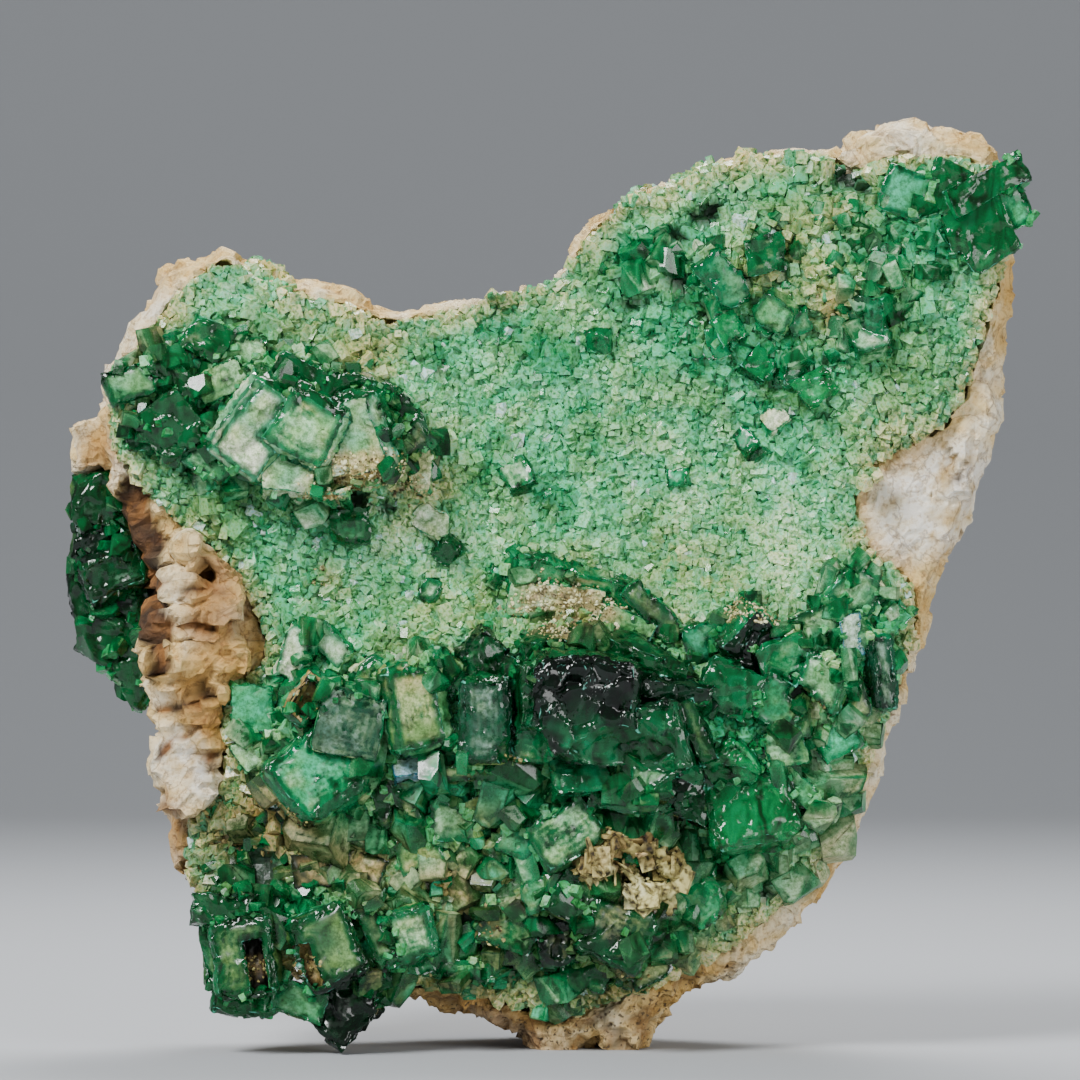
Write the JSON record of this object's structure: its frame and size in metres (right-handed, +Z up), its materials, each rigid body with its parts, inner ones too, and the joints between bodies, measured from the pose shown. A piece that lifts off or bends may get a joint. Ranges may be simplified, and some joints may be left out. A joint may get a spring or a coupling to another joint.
{
  "type": "mineral specimen",
  "caption": "Standing plate of green fluorite crystals grown over a pale broken feldspar rock, with a crust of small crystals and groups of large cubes.",
  "frame": {"origin": "under the middle of the whole specimen, on the surface that it stands on", "axes": "+Z up, -Y out of the crystal face, +X to the right of someone facing the crystals"},
  "size_m": [0.1518, 0.0512, 0.145],
  "materials": {
    "feldspar_rock": "rough broken stone, cream with brown iron stains",
    "pale_fluorite": "sugary crust of small translucent crystals",
    "deep_fluorite": "clear emerald crystal with flat glassy faces, some frosted",
    "ochre_clay": "dull earthy"
  },
  "bodies": {
    "root": {"rock": "feldspar_rock", "crystal_crust": "pale_fluorite", "ridge_crystals": "deep_fluorite", "lower_middle_crystals": "deep_fluorite", "lower_left_crystals": "deep_fluorite", "upper_left_crystals": "deep_fluorite", "top_right_crystals": "deep_fluorite", "left_flank_crystals": "deep_fluorite", "clay_skeleton": "ochre_clay"}
  },
  "joints": []
}
